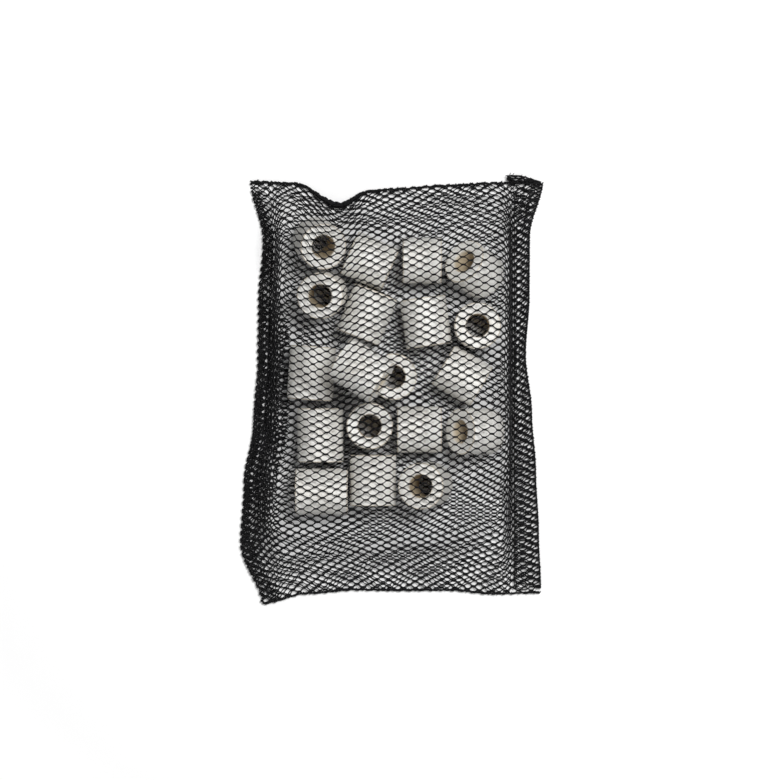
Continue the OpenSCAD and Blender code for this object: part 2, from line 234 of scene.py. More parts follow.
class ShaderGroups:
    """Node groups for the finishes to share, each built once."""

    coarse_detail: float = 3.0
    fine_detail: float = 5.0
    coarse_share: float = 0.6
    contrast: Pair = (0.36, 0.64)

    @staticmethod
    def start(name: str, inputs: dict[str, str], outputs: dict[str, str]) -> bpy.types.NodeTree:
        """Start a group with named sockets.

        Args:
            name: Name of the group.
            inputs: Names and kinds of its inputs.
            outputs: Names and kinds of its outputs.

        Returns:
            The group.
        """
        group = bpy.data.node_groups.new(name, "ShaderNodeTree")
        for way, sockets in (("INPUT", inputs), ("OUTPUT", outputs)):
            for socket, kind in sockets.items():
                group.interface.new_socket(socket, in_out=way, socket_type="NodeSocket" + kind)
        return group

    @staticmethod
    @cache
    def mottle() -> bpy.types.NodeTree:
        """Uneven tone of a surface: two sizes of soft noise between two colours.

        Returns:
            The group, with a colour, a mask and a height as outputs.
        """
        own = ShaderGroups
        group = own.start(
            "mottle",
            {"Vector": "Vector", "Coarse": "Float", "Fine": "Float", "Dark": "Color", "Light": "Color"},
            {"Color": "Color", "Mask": "Float", "Height": "Float"})
        board = NodeBoard(group)
        given = board.add("NodeGroupInput").outputs
        coarse, fine = (
            board.add("ShaderNodeTexNoise", Vector=given["Vector"], Scale=given[size], Detail=detail)
            for size, detail in (("Coarse", own.coarse_detail), ("Fine", own.fine_detail)))
        both = board.math("MULTIPLY_ADD", coarse.outputs["Fac"], own.coarse_share,
                          board.math("MULTIPLY", fine.outputs["Fac"], 1.0 - own.coarse_share))
        low, high = own.contrast
        mask = board.add("ShaderNodeMapRange", Value=both, From_Min=low, From_Max=high).outputs["Result"]
        board.add("NodeGroupOutput", Color=board.mix(mask, given["Dark"], given["Light"]), Mask=mask,
                  Height=fine.outputs["Fac"])
        return group

    @staticmethod
    @cache
    def pores() -> bpy.types.NodeTree:
        """Small open pits scattered over a fired or spun surface.

        Returns:
            The group, with a pit mask and a height as outputs.
        """
        group = ShaderGroups.start("pores", {"Vector": "Vector", "Scale": "Float", "Size": "Float"},
                                   {"Pit": "Float", "Height": "Float"})
        board = NodeBoard(group)
        given = board.add("NodeGroupInput").outputs
        cells = board.add("ShaderNodeTexVoronoi", Vector=given["Vector"], Scale=given["Scale"])
        height = board.math("MINIMUM", board.math("DIVIDE", cells.outputs["Distance"], given["Size"]), 1.0)
        board.add("NodeGroupOutput", Pit=board.math("SUBTRACT", 1.0, height), Height=height)
        return group


# Finishes


@dataclass(frozen=True)
class CeramicFinish:
    """Unglazed porous ceramic, warm white, with tan inside the holes that is partly real stain and partly
    painted shade deepening into them, and tan along the outer rims that is painted shade.
    """

    light: Color = (0.90, 0.89, 0.86, 1.0)
    dark: Color = (0.79, 0.77, 0.72, 1.0)
    # Tan of the holes, partly real stain and partly painted shade, and of the outer rims, painted shade.
    hole: Color = (0.53, 0.43, 0.28, 1.0)
    pit: Color = (0.42, 0.36, 0.27, 1.0)
    coarse: float = 130.0
    fine: float = 900.0
    pit_size: float = 0.34
    pit_share: float = 0.55
    roughness: float = 0.86
    grain_share: float = 0.5
    relief: float = 0.12
    relief_share: float = 0.7

    def material(self) -> bpy.types.Material:
        """Build the finish as a material.

        Returns:
            The material.
        """
        p = Palette("porous_ceramic")
        place = p.place()
        tone = p.group(ShaderGroups.mottle(), Vector=place, Coarse=self.coarse, Fine=self.fine,
                       Dark=self.dark, Light=self.light)
        pits = p.group(ShaderGroups.pores(), Vector=place, Scale=self.fine, Size=self.pit_size)
        pits_and_rim_shade = p.mix(p.math("MULTIPLY", pits["Pit"], self.pit_share), tone["Color"], self.pit)
        # Per-point tan: in the holes partly real stain and partly painted shade, along the outer rims painted
        # shade.
        stain_and_shade = p.add("ShaderNodeAttribute")
        stain_and_shade.attribute_name = "stain_and_shade"
        p.coat(Base_Color=p.mix(stain_and_shade.outputs["Fac"], pits_and_rim_shade, self.hole), Roughness=self.roughness)
        height = p.math("MULTIPLY_ADD", tone["Height"], self.grain_share, pits["Height"])
        p.bump(height, self.relief, self.relief_share)
        return p.material


@dataclass(frozen=True)
class YarnFinish:
    """Matte spun yarn, with fibres that run unevenly along it."""

    name: str
    dark: Color
    light: Color
    coarse: float = 260.0
    fine: float = 2600.0
    roughness: float = 0.72
    uneven: float = 0.12
    gloss: float = 0.12
    relief: float = 0.08
    relief_share: float = 0.8

    def material(self) -> bpy.types.Material:
        """Build the finish as a material.

        Returns:
            The material.
        """
        p = Palette(self.name)
        tone = p.group(ShaderGroups.mottle(), Vector=p.place(), Coarse=self.coarse, Fine=self.fine,
                       Dark=self.dark, Light=self.light)
        rough = p.add("ShaderNodeMapRange", Value=tone["Mask"], To_Min=self.roughness - self.uneven,
                      To_Max=self.roughness + self.uneven)
        p.coat(Base_Color=tone["Color"], Roughness=rough.outputs["Result"], Specular_IOR_Level=self.gloss)
        p.bump(tone["Height"], self.relief, self.relief_share)
        return p.material


@dataclass(frozen=True)
class FloorFinish:
    """White table top that throws little light back into the bag and stays white far from the lamps."""

    seen: Color = (0.97, 0.97, 0.97, 1.0)
    bounced: Color = (0.38, 0.38, 0.38, 1.0)
    lit: float = 0.15
    white: float = 0.6
    roughness: float = 0.9
    gloss: float = 0.1

    def material(self) -> bpy.types.Material:
        """Build the finish as a material.

        Returns:
            The material.
        """
        p = Palette("white_table")
        seen = p.seen()
        away = p.add("ShaderNodeVectorMath", Vector=p.place())
        away.operation = "LENGTH"
        fade = p.add("ShaderNodeMapRange", Value=away.outputs["Value"], From_Min=self.lit,
                     From_Max=self.white)
        p.coat(Base_Color=p.mix(seen, self.bounced, self.seen), Roughness=self.roughness,
               Specular_IOR_Level=self.gloss, Emission_Color=WHITE,
               Emission_Strength=p.math("MULTIPLY", seen, fade.outputs["Result"]))
        return p.material


# Workbench


class Bench:
    """Small steps that every piece needs."""

    @staticmethod
    def deselect() -> None:
        """Leave edit mode and deselect everything."""
        if bpy.context.object and bpy.context.object.mode != "OBJECT":
            bpy.ops.object.mode_set(mode="OBJECT")
        bpy.ops.object.select_all(action="DESELECT")

    @staticmethod
    def activate(piece: Piece) -> None:
        """Make a piece the only selected and active one.

        Args:
            piece: The piece.
        """
        Bench.deselect()
        piece.select_set(True)
        bpy.context.view_layer.objects.active = piece

    @staticmethod
    def add(name: str, data: bpy.types.ID) -> Piece:
        """Make an object and link it to the scene.

        Args:
            name: Name of the object.
            data: Its mesh, lamp or camera.

        Returns:
            The object.
        """
        thing = bpy.data.objects.new(name, data)
        bpy.context.scene.collection.objects.link(thing)
        return thing

    @staticmethod
    def finish(piece: Piece, material: bpy.types.Material, slot: Slot, body: str, *nodes: str) -> Piece:
        """Dress a piece and tie it to the frame.

        Args:
            piece: The piece.
            material: Its material.
            slot: Its slot in the record; not used.
            body: The body that it rides on.
            nodes: The nodes that it stands for.

        Returns:
            The same piece.
        """
        piece.data.materials.clear()
        piece.data.materials.append(material)
        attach(piece, body)
        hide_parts(*nodes)
        LOG.info("%s: %d faces on %s", piece.name, len(piece.data.polygons), body)
        return piece


# Rings


@dataclass
class CeramicRing:
    """Place and length of one ring, read from the frame, in millimetres."""

    name: str
    centre: Array
    axis: Array
    length: float


@dataclass
class RingPile:
    """The loose rings: one modelled, then copied to every place. Sizes are in millimetres."""

    diameter: float = 15.0
    hole: float = 7.0
    model_length: float = 16.5
    middle: float = 5.0
    lip: float = 0.55
    lip_cuts: int = 4
    sharp: float = 60.0
    around: int = 72
    along_cuts: int = 11
    end_cuts: int = 3
    # Tan painted into each ring: deepening into the hole, partly real stain and partly painted shade; a band
    # at the outer rims, painted shade.
    stain_and_shade_depth: float = 2.5
    mouth_stain_and_shade: float = 0.35
    most_stain_and_shade: float = 0.9
    mouth_width: float = 0.35
    rim_shade: float = 0.55
    rim_share: float = 0.7
    turn_step: float = 37.0
    smooth: float = 50.0
    grain: tuple[Pair, ...] = ((5.0, 0.22), (1.3, 0.1))
    rings: list[CeramicRing] = field(default_factory=list)

    def read_frame(self) -> None:
        """Take each ring's place and axis from its joint, and its length from its box."""
        for joint in frame["joints"]:
            low, high = (np.array(corner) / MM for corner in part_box(joint["child"]))
            axis = np.array(joint["axis"], float)
            axis /= np.linalg.norm(axis)
            d = int(np.argmax(np.abs(axis)))
            across = self.diameter * math.sqrt(max(0.0, 1.0 - axis[d] ** 2))
            length = (high[d] - low[d] - across) / abs(axis[d])
            centre = np.array(joint["pos_m"], float) / MM
            self.rings.append(CeramicRing(joint["child"], centre, axis, length))

    def model(self) -> Piece:
        """Model one ring at the origin, along Z.

        Returns:
            The ring that the others are copied from.
        """
        Bench.deselect()
        bpy.ops.mesh.primitive_cylinder_add(
            vertices=self.around, radius=self.diameter / 2 * MM, depth=self.model_length * MM)
        ring = bpy.context.object
        bpy.ops.object.mode_set(mode="EDIT")
        bpy.ops.mesh.select_mode(type="FACE")
        self.pick(ring, "faces", lambda f: abs(f.normal.z) > 0.9)
        bpy.ops.mesh.inset(thickness=(self.diameter - self.hole) / 2 * MM)
        bpy.ops.mesh.bridge_edge_loops()
        bpy.ops.mesh.select_mode(type="EDGE")
        bpy.ops.mesh.select_all(action="DESELECT")
        bpy.ops.mesh.edges_select_sharp(sharpness=math.radians(self.sharp))
        bpy.ops.mesh.bevel(offset=self.lip * MM, segments=self.lip_cuts, profile=0.5)
        self.pick(ring, "edges", lambda e: self.runs_along(e) and e.calc_length() > self.middle * MM)
        bpy.ops.mesh.subdivide(number_cuts=self.along_cuts)
        self.pick(ring, "edges", lambda e: self.runs_out(e) and e.calc_length() > 2 * self.lip * MM)
        bpy.ops.mesh.subdivide(number_cuts=self.end_cuts)
        bpy.ops.mesh.select_all(action="SELECT")
        bpy.ops.mesh.normals_make_consistent(inside=False)
        bpy.ops.object.mode_set(mode="OBJECT")
        return ring

    @staticmethod
    def pick(piece: Piece, kind: str, test: Callable[[object], bool]) -> None:
        """Select a piece's faces or edges that pass a test, in edit mode.

        Args:
            piece: The piece.
            kind: What is tested, "faces" or "edges".
            test: The test.
        """
        bpy.ops.mesh.select_all(action="DESELECT")
        shape = bmesh.from_edit_mesh(piece.data)
        for element in getattr(shape, kind):
            element.select_set(bool(test(element)))
        shape.select_flush_mode()
        bmesh.update_edit_mesh(piece.data)

    @staticmethod
    def runs_along(edge: bmesh.types.BMEdge) -> bool:
        """Tell whether an edge runs along the ring."""
        a, b = (v.co for v in edge.verts)
        return abs(b.z - a.z) > 0.99 * (b - a).length

    @staticmethod
    def runs_out(edge: bmesh.types.BMEdge) -> bool:
        """Tell whether an edge runs from the hole outwards over an end face."""
        a, b = (v.co for v in edge.verts)
        return abs(a.z - b.z) < 1e-7 and abs(a.xy.length - b.xy.length) > 0.99 * (b - a).length

    def place(self, model: Piece, ring: CeramicRing, number: int) -> Piece:
        """Copy the modelled ring to its place, at its length, and roughen it.

        Args:
            model: The ring to copy.
            ring: Where it goes.
            number: Its number in the pile, which turns it about its axis.

        Returns:
            The placed copy.
        """
        piece = Bench.add(ring.name + "_ceramic", model.data.copy())
        points = np.zeros(len(piece.data.vertices) * 3)
        piece.data.vertices.foreach_get("co", points)
        points = points.reshape(-1, 3)
        longer = (ring.length - self.model_length) / 2 * MM
        points[:, 2] += longer * np.clip(points[:, 2] / (self.middle * MM), -1.0, 1.0)
        piece.data.vertices.foreach_set("co", points.ravel())
        # Per-point tan: partly real stain and partly painted shade in the hole, painted shade at the outer
        # rims.
        stain_and_shade = piece.data.attributes.new("stain_and_shade", "FLOAT", "POINT")
        stain_and_shade.data.foreach_set("value", self.stain_and_shade(points / MM, ring.length))
        turn = Vector(UP).rotation_difference(Vector(ring.axis)).to_matrix().to_4x4()
        spin = Matrix.Rotation(math.radians(self.turn_step * number), 4, "Z")
        piece.data.transform(Matrix.Translation(Vector(ring.centre * MM)) @ turn @ spin)
        piece.data.update()
        Bench.activate(piece)
        for size, strength in self.grain:
            texture = bpy.data.textures.new("grain", "CLOUDS")
            texture.noise_scale = size * MM
            texture.noise_depth = 2
            push = piece.modifiers.new("uneven", "DISPLACE")
            push.texture = texture
            push.texture_coords = "LOCAL"
            push.strength = strength * MM
            push.mid_level = 1.0
            bpy.ops.object.modifier_apply(modifier=push.name)
        bpy.ops.object.shade_smooth_by_angle(angle=math.radians(self.smooth))
        return piece

    def stain_and_shade(self, points: Array, length: float) -> Array:
        """How tan each point of a ring is: in the hole it grows with depth, partly real stain and partly
        painted shade; along the outer rims it is painted shade.

        Args:
            points: Points of a ring along Z.
            length: The ring's length.

        Returns:
            The tan at each point, from 0 to 1: in the hole partly stain and partly painted shade, at the
                outer rims painted shade.
        """
        depth = length / 2 - np.abs(points[:, 2])
        out = np.hypot(points[:, 0], points[:, 1])
        # Width of the outer rim band that gets painted shade.
        pits_and_rim_shade = self.rim_share * self.lip
        rim = (out > self.diameter / 2 - pits_and_rim_shade) & (depth < pits_and_rim_shade)
        # Tan grows with depth into the hole: partly stain, partly painted shade.
        deep = np.clip(self.mouth_stain_and_shade + depth / self.stain_and_shade_depth, 0.0, self.most_stain_and_shade)
        return np.where(out < self.hole / 2 + self.mouth_width, deep, np.where(rim, self.rim_shade, 0.0))

    def build(self, material: bpy.types.Material) -> None:
        """Build and dress every ring.

        Args:
            material: The ceramic.
        """
        model = self.model()
        for number, ring in enumerate(self.rings):
            piece = self.place(model, ring, number)
            Bench.finish(piece, material, Slot.CERAMIC, ring.name, ring.name)
        bpy.data.objects.remove(model)


# Bag


@dataclass
class BagOutline:
    """The flat bag's edges, in millimetres: straight lines and their sway.

    The rows of the notch say how far it is drawn, where and how wide, as shares of the bag's width.
    """

    left: float = -45.31
    right: float = 45.81
    top: float = 65.91
    bottom: float = -66.21
    seam: float = 39.41
    left_sway: tuple[float, ...] = (3.2, -3.5, -2.4, 0.7, 2.0, 2.2, 3.7, -0.3)
    right_sway: tuple[float, ...] = (2.2, 1.5, 0.6, -0.7, -2.7, -1.5, -1.4, 3.0)
    top_sway: tuple[float, ...] = (1.2, 0.6, -5.8, -1.2, -0.1, 0.7, 1.2)
    bottom_sway: tuple[float, ...] = (-3.1, 0.2, 1.4, 1.2, 1.3, 0.1, 0.4)
    notch: tuple[Triple, ...] = ((0.026, 0.31, 0.2), (0.04, 0.385, 0.05))

    @staticmethod
    def along(values: tuple[float, ...], t: Array) -> Array:
        """Soft curve through evenly spaced values.

        Args:
            values: The values from end to end.
            t: Where to read it, from 0 to 1.

        Returns:
            The curve's values.
        """
        n = len(values) - 1
        s = np.clip(t, 0.0, 1.0) * n
        i = np.minimum(np.floor(s).astype(int), n - 1)
        k = s - i
        v = np.array(values)
        return v[i] + (v[i + 1] - v[i]) * k * k * (3 - 2 * k)

    def left_x(self, v: Array) -> Array:
        """Left edge at a share of the bag's length."""
        return self.left + self.along(self.left_sway, v)

    def right_x(self, v: Array) -> Array:
        """Right edge at a share of the bag's length."""
        return self.right + self.along(self.right_sway, v)

    def top_y(self, u: Array) -> Array:
        """Mouth at a share of the bag's width, its notch drawn to the left and steep on its right."""
        drawn = sum(far * hump(u, place, width) for far, place, width in self.notch)
        return self.top + self.along(self.top_sway, u + drawn)

    def bottom_y(self, u: Array) -> Array:
        """Bottom edge at a share of the bag's width."""
        return self.bottom + self.along(self.bottom_sway, u)

    def flat(self, u: Array, v: Array, start: str = "left", end: str = "right") -> tuple[Array, Array]:
        """Points of the flat bag between two of its upright lines.

        Args:
            u: Share of the way across, from start to end.
            v: Share of the way up.
            start: Line on the left, "left" or "seam".
            end: Line on the right, "seam" or "right".

        Returns:
            X and Y of the points.
        """
        lines = {"left": self.left_x(v), "right": self.right_x(v), "seam": self.seam + 0.0 * v}
        x = lines[start] + (lines[end] - lines[start]) * u
        share = (x - lines["left"]) / (lines["right"] - lines["left"])
        low, high = self.bottom_y(share), self.top_y(share)
        return x, low + (high - low) * v


@dataclass
class RingBed:
    """Height of the front net: it lies on the rings, sinks between them and runs down to the bag's edges.

    Lengths are in millimetres. The borders are the widths of flat net at the left, right, bottom and top.
    Each bunch says how much thicker the threads are, and where along the bag and how far; the thickening is
    partly bunched net and partly painted shade beside the pile.
    """

    rings: list[CeramicRing]
    outline: BagOutline
    ring_radius: float = 7.5
    step: float = 0.5
    margin: float = 5.0
    gap: float = 0.6
    edge: float = 1.05
    room: float = 0.42
    mesh: float = 1.56
    reach: float = 9.0
    fall: float = 1.75
    blend: float = 10.0
    slope: float = 1.2
    borders: tuple[float, float, float, float] = (4.0, 1.2, 2.8, 3.8)
    mean_rise: float = 22.0
    spread: Pair = (1.6, 9.0)
    # Thicker threads at the left flank and by the seam: partly bunched net, partly painted shade beside the
    # pile.
    flank_bunch_and_shade: Triple = (0.65, 0.42, 0.36)
    seam_bunch_and_shade: Triple = (0.3, 0.6, 0.3)
    seam_reach: float = 4.0

    def __post_init__(self) -> None:
        """Lay the grid and rest the net on it."""
        bag = self.outline
        self.xs = np.arange(bag.left - self.margin, bag.seam + self.step, self.step)
        self.ys = np.arange(bag.bottom - self.margin, bag.top + self.margin, self.step)
        x, y = np.meshgrid(self.xs, self.ys)
        raised = np.prod(self.shares(x, y), axis=0)
        self.height = self.edge + raised * (2 - raised) * self.lift(x, y)
        self.soft_height = self.soften(self.mean_rise * raised * (2 - raised))

    def lift(self, x: Array, y: Array) -> Array:
        """How far the rings hold the net above the bag's border.

        Args:
            x: X of the points.
            y: Y of the points.

        Returns:
            The lift over each point.
        """
        total = np.zeros_like(x)
        for ring in self.rings:
            rise = abs(ring.axis[2])
            flat = math.sqrt(max(0.0, 1.0 - rise ** 2))
            way = ring.axis[:2] / max(flat, 1e-6)
            along = np.abs((x - ring.centre[0]) * way[0] + (y - ring.centre[1]) * way[1])
            aside = (x - ring.centre[0]) * way[1] - (y - ring.centre[1]) * way[0]
            if flat < 1e-3:
                along, aside = 0.0 * x, np.hypot(x - ring.centre[0], y - ring.centre[1])
            wide = self.ring_radius * (self.room + (1 - self.room) * rise ** 2) + self.mesh
            off = np.hypot(np.maximum(along - ring.length / 2 * flat, 0.0), aside) - wide
            top = ring.centre[2] + ring.length / 2 * rise + self.ring_radius * flat + self.gap - self.edge
            total += (top * hump(np.maximum(off, 0.0), 0.0, self.reach, self.fall)) ** self.blend
        return total ** (1 / self.blend)

    def shares(self, x: Array, y: Array) -> Array:
        """How far the net has come up from each border to the pile: 0 at the border, 1 over the pile.

        Args:
            x: X of the points.
            y: Y of the points.

        Returns:
            The shares from the left, right, bottom and top border over each point.
        """
        bag = self.outline
        v = (y - bag.bottom) / (bag.top - bag.bottom)
        u = (x - bag.left_x(v)) / (bag.right_x(v) - bag.left_x(v))
        low = np.array([r.centre[:2] - self.half(r) for r in self.rings]).min(0) - self.slope
        high = np.array([r.centre[:2] + self.half(r) for r in self.rings]).max(0) + self.slope
        left = bag.left_x(v) + self.borders[0]
        right = bag.seam - self.borders[1]
        bottom = bag.bottom_y(u) + self.borders[2]
        top = np.maximum(bag.top_y(u) - self.borders[3], high[1] + 1.0)
        return np.clip([(x - left) / (low[0] - left), (right - x) / (right - high[0]),
                        (y - bottom) / (low[1] - bottom), (top - y) / (top - high[1])], 0.0, 1.0)

    def half(self, ring: CeramicRing) -> Array:
        """Half the room that a ring takes along X and Y."""
        axis = ring.axis[:2]
        return np.abs(axis) * ring.length / 2 + self.ring_radius * np.sqrt(1.0 - axis ** 2)

    def soften(self, z: Array) -> Array:
        """Blur the heights of an even pile, for spacing the cells, less across the bag than along it.

        Args:
            z: Heights over the grid.

        Returns:
            The blurred heights.
        """
        for axis, width in enumerate(reversed(self.spread)):
            reach = math.ceil(3 * width / self.step)
            share = np.exp(-0.5 * (np.arange(-reach, reach + 1) * self.step / width) ** 2)
            share /= share.sum()
            z = np.apply_along_axis(
                lambda line: np.convolve(np.pad(line, reach, mode="edge"), share, mode="valid"), axis, z)
        return z

    def at(self, x: Array, y: Array, soft: bool = False) -> Array:
        """Height of the net over points.

        Args:
            x: X of the points.
            y: Y of the points.
            soft: Read the blurred heights.

        Returns:
            Their heights.
        """
        fx = np.clip((x - self.xs[0]) / self.step, 0.0, len(self.xs) - 1.001)
        fy = np.clip((y - self.ys[0]) / self.step, 0.0, len(self.ys) - 1.001)
        height = self.soft_height if soft else self.height
        return between(height[..., None], fy, fx)[..., 0]

    def bulk(self, x: Array, y: Array, v: Array) -> Array:
        """Thickness of the threads, thicker at the left flank and by the middle of the side seam, partly
        bunched net and partly painted shade beside the pile.

        Args:
            x: X of the points.
            y: Y of the points.
            v: Shares of the bag's length there.

        Returns:
            The thickness as a share of the plain thread.
        """
        # Thicker threads where the pile throws shade: partly bunched net, partly painted shade.
        bunches_and_shade = (self.flank_bunch_and_shade, self.seam_bunch_and_shade)
        flank, seam = (more * hump(v, place, far, 4) for more, place, far in bunches_and_shade)
        flank = flank * (1.0 - self.shares(x, y)[0] ** 3)
        return 1.0 + flank + seam * hump(x, self.outline.seam, self.seam_reach)


class Cloth:
    """A stretch of cloth as a grid of points, read by shares across and along it."""

    def __init__(self, x: Array, y: Array, z: Array, bulk: float | Array = 1.0) -> None:
        """Keep the grid, its normals and how thick its threads are.

        Args:
            x: X of the grid, rows along the cloth and columns across it.
            y: Y of the grid.
            z: Z of the grid.
            bulk: Thickness of the threads as a share of the plain thread.
        """
        self.points = np.stack([x, y, z], axis=-1)
        self.bulk = np.broadcast_to(np.asarray(bulk, float), x.shape)[..., None]
        across = np.gradient(self.points, axis=1)
        along = np.gradient(self.points, axis=0)
        normals = np.cross(across, along)
        self.normals = normals / np.linalg.norm(normals, axis=-1, keepdims=True)
        self.width = float(np.linalg.norm(np.diff(self.points, axis=1), axis=-1).sum(1).mean())
        self.length = float(np.linalg.norm(np.diff(self.points, axis=0), axis=-1).sum(0).mean())

    @staticmethod
    def grid(columns: int, rows: int) -> tuple[Array, Array]:
        """Even shares across and along a cloth."""
        return np.meshgrid(np.linspace(0.0, 1.0, columns), np.linspace(0.0, 1.0, rows))

    @classmethod
    def draped(cls, outline: BagOutline, bed: RingBed) -> "Cloth":
        """Spread the front panel over the rings with its cells as even as the drape lets them be.

        Args:
            outline: The bag's edges.
            bed: The settled heights.

        Returns:
            The draped cloth.
        """
        u, v = cls.grid(221, 301)
        x, y = outline.flat(u, v, "left", "seam")
        for _ in range(10):
            for axis in (1, 0):
                x, y = cls.even_out(x, y, bed.at(x, y, soft=True), axis)
        made = cls(x, y, bed.at(x, y), bed.bulk(x, y, v))
        made.width = cls(x, y, bed.at(x, y, soft=True)).width
        return made

    @staticmethod
    def even_out(x: Array, y: Array, z: Array, axis: int) -> tuple[Array, Array]:
        """Slide the points of each line half the way to an even spacing along the cloth.

        Args:
            x: X of the grid.
            y: Y of the grid.
            z: Z of the grid.
            axis: 1 for the lines across, 0 for the lines along.

        Returns:
            The new X and Y.
        """
        points = np.stack([x, y, z], axis=-1).swapaxes(0, 1 - axis)
        moved = points.copy()
        for n, line in enumerate(points):
            run = Skein.run(line)
            even = np.linspace(0.0, run[-1], len(run))
            for d in (0, 1):
                moved[n, :, d] = (line[:, d] + np.interp(even, run, line[:, d])) / 2
        moved = moved.swapaxes(0, 1 - axis)
        return moved[..., 0], moved[..., 1]

    def read(self, u: Array, v: Array) -> tuple[Array, Array, Array]:
        """Read the cloth at shares across and along it.

        Args:
            u: Shares across, from 0 to 1.
            v: Shares along, from 0 to 1.

        Returns:
            Points, unit normals and bulk.
        """
        rows, columns = self.points.shape[:2]
        fu = np.clip(u, 0.0, 1.0) * (columns - 1.0001)
        fv = np.clip(v, 0.0, 1.0) * (rows - 1.0001)
        points, normals, bulk = (between(grid, fv, fu) for grid in (self.points, self.normals, self.bulk))
        return points, normals / np.linalg.norm(normals, axis=-1, keepdims=True), bulk[..., 0]


class Skein:
    """Threads gathered into one piece, each a closed round tube."""

    def __init__(self, sides: int = 5) -> None:
        """Start with no threads.

        Args:
            sides: Faces around a thread.
        """
        self.sides = sides
        self.points: list[Array] = []
        self.faces: list[list[int]] = []
        self.count = 0

    @staticmethod
    def run(line: Array) -> Array:
        """Length along a line up to each of its points."""
        return np.concatenate([[0.0], np.cumsum(np.linalg.norm(np.diff(line, axis=0), axis=1))])

    @staticmethod
    def unit(vectors: Array) -> Array:
        """Vectors brought to unit length."""
        return vectors / np.maximum(np.linalg.norm(vectors, axis=1, keepdims=True), 1e-9)

    def add(self, line: Array, up: Array, thickness: float | Array) -> None:
        """Lay one thread.

        Args:
            line: Points of its middle, in millimetres.
            up: Upright direction, one for the whole thread or one for each point.
            thickness: Diameter, one for the whole thread or one for each point.
        """
        stops = len(line)
        ahead = self.unit(np.gradient(line, axis=0))
        side = self.unit(np.cross(ahead, np.broadcast_to(up, line.shape)))
        over = np.cross(side, ahead)
        turn = np.linspace(0.0, 2 * np.pi, self.sides, endpoint=False)
        radius = np.broadcast_to(np.asarray(thickness, float) / 2, (stops,))[:, None, None]
        hoops = line[:, None] + radius * (
            np.cos(turn)[:, None] * side[:, None] + np.sin(turn)[:, None] * over[:, None])
        start = self.count + np.arange(stops) * self.sides
        k = np.arange(self.sides)
        nxt = (k + 1) % self.sides
        near, far = start[:-1, None], start[1:, None]
        self.faces += np.stack([near + k, far + k, far + nxt, near + nxt], axis=-1).reshape(-1, 4).tolist()
        self.faces += [(start[0] + k).tolist(), (start[-1] + k[::-1]).tolist()]
        self.points.append(hoops.reshape(-1, 3))
        self.count += stops * self.sides

    def piece(self, name: str) -> Piece:
        """Make the gathered threads into one piece.

        Args:
            name: Name of the piece.

        Returns:
            The piece.
        """
        mesh = bpy.data.meshes.new(name)
        mesh.from_pydata((np.vstack(self.points) * MM).tolist(), [], self.faces)
        mesh.update()
        mesh.shade_smooth()
        return Bench.add(name, mesh)


@dataclass(frozen=True)
class Knit:
    """The knitted net: zigzag threads, each joined to the next along short bars, where they are thickest."""

    cell_width: float = 4.35
    cell_height: float = 2.62
    bar: float = 1.0
    thread: float = 0.37
    knot: float = 1.2
    waist: float = 0.8
    lap: float = 0.36
    jitter: float = 0.025
    seed: int = 4

    def lay(self, skein: Skein, cloth: Cloth) -> None:
        """Lay the zigzag threads on a cloth, cut at its edges.

        Args:
            skein: The threads to add to.
            cloth: The cloth.
        """
        rng = np.random.default_rng(self.seed)
        columns = cloth.width / self.cell_width
        rows = round(cloth.length / self.cell_height * 2)
        half_bar = self.bar / self.cell_width / 2
        turns = np.array([-half_bar, half_bar, 0.25, 0.5 - half_bar, 0.5 + half_bar, 0.75])
        steps = np.arange(-2, math.ceil(columns) + 2)
        swing = np.tile([1.0, 1.0, 0.0, -1.0, -1.0, 0.0], len(steps))
        size = self.waist + (self.knot - self.waist) * np.abs(swing)
        reach = 0.5 - self.lap * self.thread / (self.cell_height / 2)
        for number in range(rows):
            u = ((steps[:, None] + turns[None]).ravel() + 0.5 * (number % 2)) / columns
            v = number + 0.5 + reach * swing
            u = u + rng.normal(0.0, self.jitter, u.shape) / columns
            v = (v + rng.normal(0.0, self.jitter, v.shape)) / rows
            kept = (u > 0.0) & (u < 1.0)
            across = np.concatenate([[0.0], u[kept], [1.0]])
            points, normals, bulk = cloth.read(across, np.interp(across, u, v))
            skein.add(points, normals, self.thread * bulk * np.interp(across, u, size))


